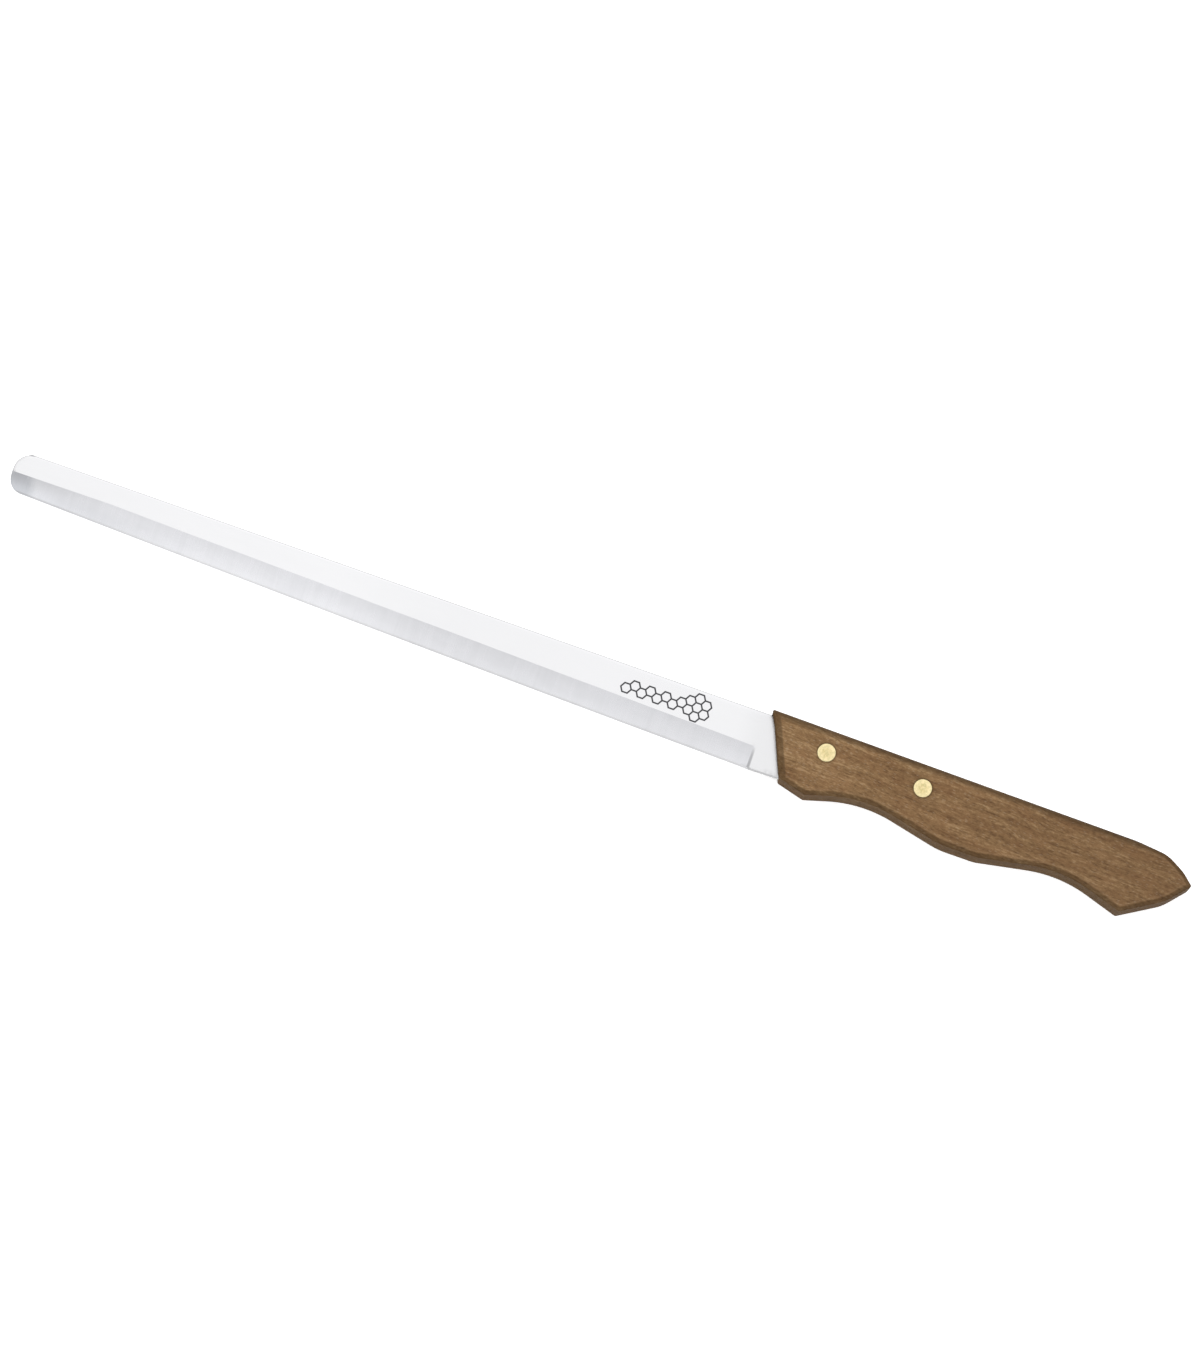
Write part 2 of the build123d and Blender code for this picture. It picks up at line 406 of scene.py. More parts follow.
def plate(outline, holes, chains, inner, top, bottom, rows):
    """A closed solid over a flat outline, in millimetres. holes are (centre, lip radius, wall), and a wall is
    (radius, z) from top to bottom; chains are lines that mesh edges follow; top and bottom give z at each
    point; rows divide the outer wall."""
    loops = [outline] + [circle(centre, lip, HOLE_SIDES) for centre, lip, wall in holes]
    flat, faces, (rim, *hole_rims) = triangulate(loops, chains, inner)
    middles = np.array([flat[list(face)].mean(0) for face in faces])
    in_hole = np.zeros(len(faces), bool)
    for centre, lip, wall in holes:
        in_hole |= np.linalg.norm(middles - np.array(centre), axis=1) < lip * 0.999
    mesh = bmesh.new()
    upper = [mesh.verts.new((x, y, z)) for (x, y), z in zip(flat, top(flat))]
    lower = [mesh.verts.new((x, y, z)) for (x, y), z in zip(flat, bottom(flat))]
    for (a, b, c), gone in zip(faces, in_hole):
        if not gone:
            mesh.faces.new((upper[a], upper[b], upper[c]))
            mesh.faces.new((lower[c], lower[b], lower[a]))
    rings = [[upper[i] for i in rim]]
    for k in range(1, rows):
        rings.append([mesh.verts.new(upper[i].co.lerp(lower[i].co, k / rows)) for i in rim])
    rings.append([lower[i] for i in rim])
    stitch(mesh, rings)
    for hole_rim, (centre, lip, wall) in zip(hole_rims, holes):
        rings = [[upper[i] for i in hole_rim]]
        for radius, z in wall:
            rings.append([mesh.verts.new((x, y, z)) for x, y in circle(centre, radius, HOLE_SIDES)])
        rings.append([lower[i] for i in hole_rim])
        stitch(mesh, rings)
    bmesh.ops.delete(mesh, geom=[v for v in mesh.verts if not v.link_faces], context="VERTS")
    bmesh.ops.recalc_face_normals(mesh, faces=mesh.faces)
    return mesh


def lathe(profile, centre, lift):
    """A closed solid of revolution about a vertical axis. The profile's (radius, z) points start and end on
    it, and lift(ring, radius, z) says how far each point of a ring moves up."""
    mesh = bmesh.new()
    rings = []
    for radius, z in profile[1:-1]:
        ring = circle(centre, radius, RIVET_SIDES)
        rings.append([mesh.verts.new((x, y, z + up)) for (x, y), up in zip(ring, lift(ring, radius, z))])
    stitch(mesh, rings)
    for ring, z in ((rings[0], profile[0][1]), (rings[-1], profile[-1][1])):
        pole = mesh.verts.new((*centre, z))
        for i in range(RIVET_SIDES):
            mesh.faces.new((ring[i], ring[(i + 1) % RIVET_SIDES], pole))
    bmesh.ops.recalc_face_normals(mesh, faces=mesh.faces)
    return mesh


def add_object(name, data):
    thing = bpy.data.objects.new(name, data)
    bpy.context.scene.collection.objects.link(thing)
    return thing


def finish_mesh(mesh, name, sharp_angle, sharp=None):
    """Makes an object in metres from a bmesh in millimetres, smooth but for its sharp edges."""
    for edge in mesh.edges:
        steep = len(edge.link_faces) == 2 and edge.calc_face_angle(0) > math.radians(sharp_angle)
        edge.smooth = not (steep or (sharp is not None and sharp(edge)))
    for face in mesh.faces:
        face.smooth = True
    bmesh.ops.scale(mesh, vec=(MM, MM, MM), verts=mesh.verts)
    data = bpy.data.meshes.new(name)
    mesh.to_mesh(data)
    mesh.free()
    return add_object(name, data)


def cut(thing, cutter):
    """Takes the cutter's shape out of a thing, as a finished mesh."""
    modifier = thing.modifiers.new("slot", "BOOLEAN")
    modifier.operation = "DIFFERENCE"
    modifier.solver = "EXACT"
    modifier.object = cutter
    bpy.context.view_layer.update()
    evaluated = thing.evaluated_get(bpy.context.evaluated_depsgraph_get())
    data = bpy.data.meshes.new_from_object(evaluated)
    thing.modifiers.clear()
    thing.data = data


# ---- places from the CAD

def box_mm(node):
    low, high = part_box(node)
    return np.array(low) / MM, np.array(high) / MM


handle_low, handle_high = box_mm("handle")
blade_low, blade_high = box_mm("blade")
outline = corner_loop(HANDLE_OUTLINE, HANDLE_STEP)
SHIFT = handle_low[:2] - outline.min(0)  # from draft places to the part's own frame
THICKNESS = handle_high[2] - handle_low[2]
MID_Z = (blade_low[2] + blade_high[2]) / 2
HALF = (blade_high[2] - blade_low[2]) / 2
outline = outline + SHIFT
RIVETS = {}
for place in ("front", "rear"):
    low, high = box_mm(f"{place}_rivet_pin")
    RIVETS[place] = ((low + high) / 2)[:2]
HEAD_RADIUS = (high[0] - low[0]) / 2


# ---- handle

def face_drop(points, seed):
    """How far the broad face of the handle is below the CAD face at each point."""
    deep = distance(points, outline)
    edge = np.clip(FACE_RADIUS - deep, 0, FACE_RADIUS)
    rounding = FACE_RADIUS - np.sqrt(np.maximum(FACE_RADIUS ** 2 - edge ** 2, 0))
    sanding = SANDING_DEPTH * (0.5 + 0.5 * ripple(points[:, 0], points[:, 1], seed, SANDING_WAVES))
    drop = rounding + smooth_step(deep / SANDING_FADE) * sanding
    for centre in RIVETS.values():
        away = np.linalg.norm(points - centre, axis=1) - HEAD_RADIUS - LIP_WIDTH
        drop = drop + LIP_DIP * np.exp(-np.maximum(away, 0) ** 2 / LIP_DIP_SPREAD)
    return drop


def recess_wall():
    """Wall of the hole for a rivet, as (radius, z) from the upper lip to the lower one."""
    seat = THICKNESS - HEAD_THICKNESS
    upper_lip = [(HEAD_RADIUS + out, THICKNESS - deep) for out, deep in LIP_ROUNDING]
    lower_lip = [(HEAD_RADIUS + out, deep) for out, deep in reversed(LIP_ROUNDING)]
    return [
        *upper_lip,
        (HEAD_RADIUS, seat),
        (PIN_RADIUS, seat),
        (PIN_RADIUS, TUBE_LENGTH),
        (TUBE_RADIUS, TUBE_LENGTH),
        (TUBE_RADIUS, HEAD_THICKNESS),
        (HEAD_RADIUS, HEAD_THICKNESS),
        *lower_lip,
    ]


def make_handle():
    rings = [
        inner_rings(outline, rounding_depths(FACE_RADIUS, FACE_ROUNDING_ANGLES)),
        inner_rings(outline, FACE_RINGS),
    ]
    xs = np.arange(handle_low[0], handle_high[0], HANDLE_GRID)
    ys = np.arange(handle_low[1], handle_high[1], HANDLE_GRID)
    grid = np.array([(x + (j % 2) * HANDLE_GRID / 2, y) for j, y in enumerate(ys) for x in xs])
    grid = grid[inside(grid, outline)]
    keep = distance(grid, outline) > FACE_RINGS[-1] + CLEAR_OF_RINGS
    lip = HEAD_RADIUS + LIP_WIDTH
    for centre in RIVETS.values():
        keep &= np.linalg.norm(grid - centre, axis=1) > lip + CLEAR_OF_LIP
        rings += [circle(centre, lip + out, HOLE_SIDES) for out in LIP_RINGS]
    return plate(
        outline=outline,
        holes=[(centre, lip, recess_wall()) for centre in RIVETS.values()],
        chains=[],
        inner=np.concatenate([*rings, grid[keep]]),
        top=lambda points: handle_low[2] + THICKNESS - face_drop(points, UPPER_SEED),
        bottom=lambda points: handle_low[2] + face_drop(points, LOWER_SEED),
        rows=HANDLE_ROWS,
    )


# ---- blade, in draft places

def along_blade(x):
    """0 at the tip and 1 at the heel."""
    return (x - TIP_X) / (HEEL_X - TIP_X)


def runout(x):
    """1 at the tip, falling to 0 where its extra grinding ends."""
    return np.clip(1 - (x - TIP_X) / RUNOUT_LENGTH, 0, 1)


def edge_y(x):
    along = along_blade(x)
    return -(TIP_WIDTH + (HEEL_WIDTH - TIP_WIDTH) * along + 4 * EDGE_BOW * along * (1 - along))


def ridge_y(x):
    """The line between the flat and the bevel as a grinder leaves it, wandering a few hundredths of a mm."""
    x = np.asarray(x, float)
    level = np.zeros_like(x)
    straight = -(RIDGE_AT_TIP + (RIDGE_AT_HEEL - RIDGE_AT_TIP) * along_blade(x)) - TIP_RIDGE_DIP * runout(x)
    wave = sum(height * ripple(x, level, seed, fine) for height, seed, fine in RIDGE_WAVES)
    return straight + smooth_step((HEEL_X - x) / RIDGE_WAVE_FADE) * wave


def ridge_at(x):
    return ridge_y([x])[0]


def blade_corners():
    edge_xs = np.linspace(TIP_X + EDGE_START, HEEL_X, EDGE_RUNS + 1)[:-1]
    return [
        (TIP_X, 0, TIP_SPINE_RADIUS),
        (TIP_X + TIP_LEAN, edge_y(TIP_X), TIP_EDGE_RADIUS),
        *[(x, edge_y(x), 0) for x in edge_xs],
        (HEEL_X, -HEEL_WIDTH, 0),
        *reversed(TANG),
    ]


def eased_rims(loop):
    """The parts of the blade's outline whose rims are eased: spine and tip, and the ricasso."""
    shoulder = np.argmin(np.linalg.norm(loop - np.array(TANG[0][:2]), axis=1))
    around = np.roll(loop, -shoulder, axis=0)  # along the spine, round the tip and back along the edge
    spine_and_tip = around[(around[:, 1] > -1e-6) | (around[:, 0] <= TIP_X + TIP_RIM_END)]
    ricasso = np.array([(HEEL_X, -HEEL_WIDTH), TANG[-1][:2]])
    return [spine_and_tip, ricasso]


def rim_distance(points, rims):
    return np.minimum.reduce([distance(points, rim, closed=False) for rim in rims])


def blade_half(points, rims):
    """Height of the blade's surface above its middle plane at each point."""
    x, y = points[:, 0], points[:, 1]
    ridge = ridge_y(x)
    honed_line = edge_y(x) + HONED_WIDTH
    down = np.clip((ridge - y) / (ridge - honed_line), 0, 1)
    height, seed, fine = BEVEL_WAVES
    waves = height * ripple(x, y * BEVEL_WAVES_ACROSS, seed, fine)
    sag = HOLLOW + TIP_RUNOUT * runout(x) + waves
    bevel = HALF + (HONED_HALF - HALF) * down - 4 * sag * down * (1 - down)
    honed = HONED_HALF + (EDGE_HALF - HONED_HALF) * np.clip((honed_line - y) / HONED_WIDTH, 0, 1)
    ground = np.where(y > honed_line, bevel, honed)
    ground = np.where(y >= ridge, HALF, ground)
    plunge = smooth_step((x - PLUNGE_X) / PLUNGE_WIDTH)
    half = ground + (HALF - ground) * plunge
    deep = np.clip(RIM_RADIUS - rim_distance(points, rims), 0, RIM_RADIUS)
    eased = HALF - RIM_RADIUS + np.sqrt(np.maximum(RIM_RADIUS ** 2 - deep ** 2, 0))
    return np.maximum(np.minimum(half, eased), EDGE_HALF)


def grind_chains(loop):
    """Lines that mesh edges follow: the ridge with the plunge's foot, and the start of the honed edge."""
    ridge_xs = np.arange(TIP_X + 0.9, PLUNGE_X - 0.3, GRIND_STEP)
    foot_ys = np.linspace(ridge_at(PLUNGE_X), 0.05 - HEEL_WIDTH, PLUNGE_ROWS)
    foot = np.c_[np.full(PLUNGE_ROWS, PLUNGE_X), foot_ys]
    ridge = np.concatenate([np.c_[ridge_xs, ridge_y(ridge_xs)], foot])
    honed_xs = np.arange(TIP_X + 3.0, PLUNGE_X - 0.3, GRIND_STEP)
    honed = np.c_[honed_xs, edge_y(honed_xs) + HONED_WIDTH]
    return [chain[distance(chain, loop) > 0.04] for chain in (ridge, honed)]


def blade_points():
    """Points all over the steel: rows across flat and bevel, columns at the heel, and a grid on the tang."""
    bevel_shares = np.linspace(0, 1, BEVEL_PARTS + 1)[1:-1]
    points = []
    for x in np.arange(TIP_X + 0.6, PLUNGE_X - 0.2, STATION_STEP):
        ridge, honed_line = ridge_at(x), edge_y(x) + HONED_WIDTH
        points += [(x, ridge - ridge * share) for share in FLAT_SHARES]
        points += [(x, ridge + (honed_line - ridge) * share) for share in bevel_shares]
        points.append((x, honed_line - HONED_WIDTH / 2))
    for offset in PLUNGE_COLUMNS:
        points += [(HEEL_X + offset, y) for y in np.linspace(-0.8, 0.15 - HEEL_WIDTH, HEEL_ROWS)]
    points += [(x, y) for x in np.arange(*TANG_GRID[0]) for y in np.arange(*TANG_GRID[1])]
    return np.array(points)


def make_blade():
    loop = corner_loop(blade_corners(), BLADE_STEP)
    rims = eased_rims(loop)
    inner = blade_points()
    good = inside(inner, loop) & (distance(inner, loop) > CLEAR_OF_OUTLINE)
    good &= rim_distance(inner, rims) > RIM_RADIUS + CLEAR_OF_RIM
    holes = []
    for centre in RIVETS.values():
        local = centre - SHIFT
        good &= np.linalg.norm(inner - local, axis=1) > TANG_HOLE_RADIUS + CLEAR_OF_HOLE
        holes.append((local, TANG_HOLE_RADIUS, []))
    rim_rings = inner_rings(loop, rounding_depths(RIM_RADIUS, RIM_ROUNDING_ANGLES))
    rim_rings = rim_rings[rim_distance(rim_rings, rims) < RIM_RADIUS + 0.01]
    mesh = plate(
        outline=loop,
        holes=holes,
        chains=grind_chains(loop),
        inner=np.concatenate([inner[good], rim_rings]),
        top=lambda points: MID_Z + blade_half(points, rims),
        bottom=lambda points: MID_Z - blade_half(points, rims),
        rows=2,
    )
    bmesh.ops.translate(mesh, vec=(*SHIFT, 0), verts=mesh.verts)
    return mesh


def blade_region(x, y):
    """0 for flat steel, 1 for the ground bevel and 2 for the honed edge, in the part's frame."""
    x, y = x - SHIFT[0], y - SHIFT[1]
    if x > HEEL_X - PLUNGE_WIDTH / 2 or y > ridge_at(x):
        return 0
    return 1 if y > edge_y(x) + HONED_WIDTH else 2


def lines_met(x, y):
    """Whether a place, in the part's frame, is on the ridge, on the honed line and on the plunge's foot."""
    x, y = x - SHIFT[0], y - SHIFT[1]
    if x > PLUNGE_X + 0.01:
        return False, False, False
    ridge = ridge_at(x)
    on_ridge = abs(y - ridge) < TOUCHING
    on_honed_line = abs(y - edge_y(x) - HONED_WIDTH) < TOUCHING
    on_foot = abs(x - PLUNGE_X) < TOUCHING and y < ridge + TOUCHING
    return on_ridge, on_honed_line, on_foot


def is_grind_line(edge):
    """Whether a mesh edge runs along one of those three lines."""
    one, two = [lines_met(v.co.x, v.co.y) for v in edge.verts]
    return any(a and b for a, b in zip(one, two))


# ---- rivets

def face_marks(face_z, out):
    """Small dents in a head's face; out is +1 for a face that looks up."""

    def lift(ring, radius, z):
        if abs(z - face_z) > FACE_BAND:
            return np.zeros(len(ring))
        broad = smooth_step((HEAD_RADIUS - PEEN_MARGIN - radius) / PEEN_FADE)
        marks = 0.5 + 0.5 * ripple(ring[:, 0], ring[:, 1], PEEN_SEED + z, PEEN_WAVES)
        return -out * PEEN_DEPTH * broad * marks

    return lift


def head_profile(face_z, seat_z, out):
    """Profile of a head from the middle of its face to its seat; out is +1 for a face that looks up."""
    radius = HEAD_RADIUS - HEAD_GAP
    points = [(0, face_z)]
    for r in np.arange(HEAD_RING_STEP, radius - HEAD_EDGE - 0.02, HEAD_RING_STEP):
        points.append((r, face_z - out * HEAD_CROWN * (r / radius) ** 4))
    for angle in np.radians(HEAD_EDGE_ANGLES):
        r = radius - HEAD_EDGE + HEAD_EDGE * math.sin(angle)
        z = face_z - out * (HEAD_CROWN + HEAD_EDGE * (1 - math.cos(angle)))
        points.append((r, z))
    points.append((radius, seat_z))
    return points


def make_pin(centre):
    face_z = THICKNESS - FACE_SINK
    seat_z = THICKNESS - HEAD_THICKNESS + SEAT_GAP
    radius = PIN_RADIUS - FIT_GAP
    profile = [
        *head_profile(face_z, seat_z, 1),
        (radius, seat_z),
        (radius, PIN_END_Z + PIN_END_BEVEL),
        (radius - PIN_END_BEVEL, PIN_END_Z),
        (0, PIN_END_Z),
    ]
    return lathe(profile, centre, face_marks(face_z, 1))


def make_tube(centre):
    seat_z = HEAD_THICKNESS - SEAT_GAP
    outer, bore = TUBE_RADIUS - FIT_GAP, PIN_RADIUS + FIT_GAP
    end_z = TUBE_LENGTH - TUBE_END_GAP
    profile = [
        *head_profile(FACE_SINK, seat_z, -1),
        (outer, seat_z),
        (outer, end_z - TUBE_END_BEVEL[1]),
        (outer - TUBE_END_BEVEL[0], end_z),
        (bore, end_z),
        (bore, BORE_END_Z),
        (0, BORE_END_Z),
    ]
    return lathe(profile, centre, face_marks(FACE_SINK, -1))


# ---- node trees

class Nodes:
    """Short names for adding nodes to a tree."""

    def __init__(self, tree):
        self.tree = tree

    def node(self, kind, **settings):
        made = self.tree.nodes.new(kind)
        for key, value in settings.items():
            setattr(made, key, value)
        return made

    def put(self, socket, value):
        if isinstance(value, bpy.types.NodeSocket):
            self.tree.links.new(value, socket)
        else:
            socket.default_value = value

    def math(self, operation, a, b=0.0):
        made = self.node("ShaderNodeMath", operation=operation)
        self.put(made.inputs[0], a)
        self.put(made.inputs[1], b)
        return made.outputs[0]

    def vector(self, operation, a, b=(0, 0, 0)):
        """The vector that an operation gives, or the number that DOT_PRODUCT and LENGTH give."""
        made = self.node("ShaderNodeVectorMath", operation=operation)
        self.put(made.inputs[0], a)
        self.put(made.inputs[1], b)
        return made.outputs["Value" if operation in ("DOT_PRODUCT", "LENGTH") else "Vector"]

    def weigh(self, *terms):
        """Sum of (value, weight) terms."""
        total = None
        for value, weight in terms:
            term = self.math("MULTIPLY", value, weight)
            total = term if total is None else self.math("ADD", total, term)
        return total


class Shader(Nodes):
    """A material built around one Principled shader."""

    def __init__(self, name):
        self.material = bpy.data.materials.new(name)
        self.material.use_nodes = True
        super().__init__(self.material.node_tree)
        self.bsdf = self.tree.nodes["Principled BSDF"]
        self.place = self.node("ShaderNodeTexCoord").outputs["Object"]

    def along(self, direction):
        """How far each point is along a direction, in metres."""
        return self.vector("DOT_PRODUCT", self.place, direction)

    def stretch(self, scale, turn=0.0, shift=(0, 0, 0), source=None):
        """Coordinates in millimetres, turned about Z, then multiplied by scale and shifted."""
        made = self.node("ShaderNodeMapping", vector_type="POINT")
        self.put(made.inputs["Vector"], source or self.place)
        made.inputs["Rotation"].default_value = (0, 0, turn)
        made.inputs["Scale"].default_value = (1 / MM, 1 / MM, 1 / MM)
        return self.vector("ADD", self.vector("MULTIPLY", made.outputs[0], scale), shift)

    def noise(self, vector, detail=2.0, rough=0.5):
        made = self.node("ShaderNodeTexNoise")
        self.put(made.inputs["Vector"], vector)
        made.inputs["Scale"].default_value = 1.0
        made.inputs["Detail"].default_value = detail
        made.inputs["Roughness"].default_value = rough
        return made.outputs["Fac"]

    def span(self, value, low, high, to_low=0.0, to_high=1.0):
        """Goes smoothly from to_low to to_high as the value goes from low to high."""
        made = self.node("ShaderNodeMapRange", interpolation_type="SMOOTHSTEP")
        for socket, number in zip(made.inputs, (value, low, high, to_low, to_high)):
            self.put(socket, number)
        return made.outputs[0]

    def specks(self, scale, turn, shift, source, share):
        """1 in the middle of scattered short dashes along the grain, on about the given share of cells."""
        cells = self.node("ShaderNodeTexVoronoi", feature="F1")
        self.put(cells.inputs["Vector"], self.stretch(scale, turn, shift, source))
        cells.inputs["Scale"].default_value = 1.0
        colour = self.node("ShaderNodeSeparateColor")
        self.put(colour.inputs[0], cells.outputs["Color"])
        chosen = self.span(colour.outputs[0], 1 - share - 0.04, 1 - share + 0.04)
        return self.math("MULTIPLY", self.span(cells.outputs["Distance"], 0.40, 0.14), chosen)

    def ramp(self, value, stops):
        made = self.node("ShaderNodeValToRGB")
        self.put(made.inputs[0], value)
        ramp = made.color_ramp
        while len(ramp.elements) < len(stops):
            ramp.elements.new(0.5)
        for element, (at, colour) in zip(ramp.elements, stops):
            element.position = at
            element.color = (*colour, 1)
        return made.outputs[0]

    def mix(self, share, a, b, blend="MIX"):
        made = self.node("ShaderNodeMix", data_type="RGBA", blend_type=blend)
        self.put(made.inputs[0], share)
        self.put(made.inputs[6], a if isinstance(a, bpy.types.NodeSocket) else (*a, 1))
        self.put(made.inputs[7], b if isinstance(b, bpy.types.NodeSocket) else (*b, 1))
        return made.outputs[2]

    def stain(self, colour, mask, strength, tint):
        """Mixes a tint into a colour where the mask is 1, by the strength given."""
        return self.mix(self.math("MULTIPLY", mask, strength), colour, tint)

    def shade(self, colour, share, low, high):
        """Multiplies a colour by something between two others, such as greys."""
        return self.mix(1.0, colour, self.mix(share, low, high), "MULTIPLY")

    def from_rivet(self, centre):
        """Distance of each point from the axis of a rivet, in metres."""
        spot = self.vector("SUBTRACT", self.place, (centre[0] * MM, centre[1] * MM, 0))
        return self.vector("LENGTH", self.vector("MULTIPLY", spot, (1, 1, 0)))

    def bump(self, height, depth):
        made = self.node("ShaderNodeBump")
        made.inputs["Strength"].default_value = 1.0
        made.inputs["Distance"].default_value = depth
        self.put(made.inputs["Height"], height)
        self.put(self.bsdf.inputs["Normal"], made.outputs[0])


def grey(level):
    return (level, level, level)


# ---- wood

def wandering_place(s):
    """Surface coordinates that sway across the grain."""
    sway = s.noise(s.stretch((0.03, 0.05, 0.05), GRAIN_TURN), detail=2)
    sway = s.math("MULTIPLY", s.math("SUBTRACT", sway, 0.5), GRAIN_SWAY * MM)
    combine = s.node("ShaderNodeCombineXYZ")
    s.put(combine.inputs["Y"], sway)
    s.put(combine.inputs["Z"], sway)
    return s.vector("ADD", s.place, combine.outputs[0])


def wood_grain(s):
    """Long streaks with light and dark flecks. Returns the colour, and the fibres, flecks, pores and
    dashes that roughness and bump follow too."""
    wavy = wandering_place(s)

    def layer(along, across, shift, detail, rough):
        return s.noise(s.stretch((along, across, across), GRAIN_TURN, shift, wavy), detail, rough)

    broad = layer(0.025, 0.16, (0, 0, 0), 3, 0.55)
    bands = layer(0.035, 0.60, (7, 3, 1), 4, 0.6)
    fibre = layer(0.24, 2.0, (2, 9, 4), 4, 0.65)
    flecks = layer(0.65, 1.3, (5, 5, 8), 4, 0.75)
    blotch = layer(0.14, 0.3, (1, 6, 2), 3, 0.6)
    pore = s.specks((0.30, 2.2, 2.2), GRAIN_TURN, (3, 1, 7), wavy, 0.40)
    dash = s.specks((0.65, 2.2, 2.2), GRAIN_TURN, (1, 8, 2), wavy, 0.40)
    glint = s.specks((0.60, 2.1, 2.1), GRAIN_TURN, (6, 2, 9), wavy, 0.45)

    tone = s.weigh((broad, 0.16), (bands, 0.27), (fibre, 0.24), (flecks, 0.33))
    colour = s.ramp(tone, WOOD_TONES)
    colour = s.stain(colour, s.span(blotch, 0.38, 0.68), 0.28, WOOD_RED)
    colour = s.stain(colour, glint, 0.32, WOOD_GLINT)
    colour = s.stain(colour, pore, 0.46, WOOD_PORE)
    colour = s.stain(colour, dash, 0.42, WOOD_DASH)
    return colour, fibre, flecks, pore, dash


def depth_from(s, line):
    """Distance inwards from a straight side of the handle, in metres."""
    start, end = np.array(line) + SHIFT
    ahead = (end - start) / np.linalg.norm(end - start)
    inward = (-ahead[1], ahead[0])
    return s.math("SUBTRACT", s.along((*inward, 0)), start @ inward * MM)


def paint_rim_shade(s, colour, side_shade_strength):
    """Painted shade on the sides and the rounded rim, with a thin painted highlight inside the rim and a
    thin darker painted line along the outside of the back. Returns the colour, and 1 on the shaded part."""
    unevenness = s.math("SUBTRACT", s.noise(s.stretch((0.35, 0.35, 0.35)), detail=2), 0.5)
    depth = s.node("ShaderNodeAttribute", attribute_name="edge_depth").outputs["Fac"]
    depth = s.math("ADD", depth, s.math("MULTIPLY", unevenness, 0.5))
    # painted shade on the sides and the rounded rim
    side = s.span(depth, RIM_DEPTH + RIM_BLUR, RIM_DEPTH - RIM_BLUR)
    from_front = depth_from(s, FRONT_LINE)
    from_back = depth_from(s, BACK_LINE)
    for inwards, reach, blur in (
        (from_front, FRONT_RIM_DEPTH, RIM_BLUR),
        (from_back, BACK_RIM_DEPTH, BACK_RIM_BLUR),
    ):
        side = s.math("MAXIMUM", side, s.span(inwards, (reach + blur) * MM, (reach - blur) * MM))
    # painted shade: a thin darker line along the outside of the back
    back_edge_shade = s.span(
        from_back, (BACK_EDGE_DEPTH + BACK_EDGE_BLUR) * MM, (BACK_EDGE_DEPTH - BACK_EDGE_BLUR) * MM
    )
    # painted highlight: a thin paler line inside the rim
    rim_highlight = s.math(
        "MULTIPLY",
        s.span(depth, RIM_DEPTH, RIM_DEPTH + 0.3),
        s.span(depth, RIM_DEPTH + 0.9, RIM_DEPTH + 0.4),
    )
    colour = s.stain(colour, rim_highlight, 0.08, WOOD_RIM_HIGHLIGHT)
    colour = s.stain(colour, side, side_shade_strength, WOOD_SIDE_SHADE)
    colour = s.stain(colour, back_edge_shade, BACK_EDGE_SHADE, WOOD_EDGE_SHADE)
    return colour, side


def wood_material(name, sheen, side_shade_strength):
    """Oiled brown hardwood, darker towards the butt and around the rivets, with painted shade along its rims.
    """
    s = Shader(name)
    colour, fibre, flecks, pore, dash = wood_grain(s)
    grip = s.span(s.along((1, 0, 0)), handle_low[0] * MM, handle_high[0] * MM, 0.0, GRIP_DARKENING)
    colour = s.mix(grip, colour, WOOD_PORE)
    colour, side = paint_rim_shade(s, colour, side_shade_strength)
    for centre in RIVETS.values():
        ring = s.span(s.from_rivet(centre), (HEAD_RADIUS + 0.75) * MM, (HEAD_RADIUS + 0.1) * MM)
        colour = s.stain(colour, ring, 0.42, WOOD_DIRT)
    s.put(s.bsdf.inputs["Base Color"], colour)
    rough = s.math("ADD", s.span(fibre, 0.2, 0.8, 0.48, 0.62), s.weigh((side, 0.15), (pore, 0.2)))
    s.put(s.bsdf.inputs["Roughness"], rough)
    s.bsdf.inputs["Specular IOR Level"].default_value = sheen
    s.bump(s.weigh((fibre, 0.35), (flecks, 0.35), (pore, -0.8), (dash, -0.4)), 0.06 * MM)
    return s.material


# ---- steel

def comb_cells():
    """Middles of the mark's cells: one with six around it, and a zigzag row."""
    column = CELL * math.sqrt(3) / 2
    cells = [(0, 0), (0, CELL), (0, -CELL)]
    cells += [(side * column, up * CELL / 2) for side in (-1, 1) for up in (-1, 1)]
    cells += [(-(2 + i) * column, -CELL / 2 * (i % 2)) for i in range(MARK_CHAIN)]
    return [(MARK_PLACE[0] + SHIFT[0] + x, MARK_PLACE[1] + SHIFT[1] + y) for x, y in cells]


def comb_mark(s):
    """1 on the walls of the comb cells, on the upper side of the blade, and 0 elsewhere."""
    at = s.stretch((1, 1, 0))
    mark = 0.0
    for x, y in comb_cells():
        local = s.vector("ABSOLUTE", s.vector("SUBTRACT", at, (x, y, 0)))
        slant = s.vector("DOT_PRODUCT", local, (math.sqrt(3) / 2, 0.5, 0))
        straight = s.vector("DOT_PRODUCT", local, (0, 1, 0))
        off_wall = s.math("SUBTRACT", s.math("MAXIMUM", slant, straight), CELL / 2)
        off_wall = s.math("ABSOLUTE", off_wall)
        wall = s.span(off_wall, CELL_WALL / 2 + CELL_BLUR, CELL_WALL / 2 - CELL_BLUR)
        mark = s.math("MAXIMUM", mark, wall)
    return s.math("MULTIPLY", mark, s.math("GREATER_THAN", s.along((0, 0, 1)), MID_Z * MM))


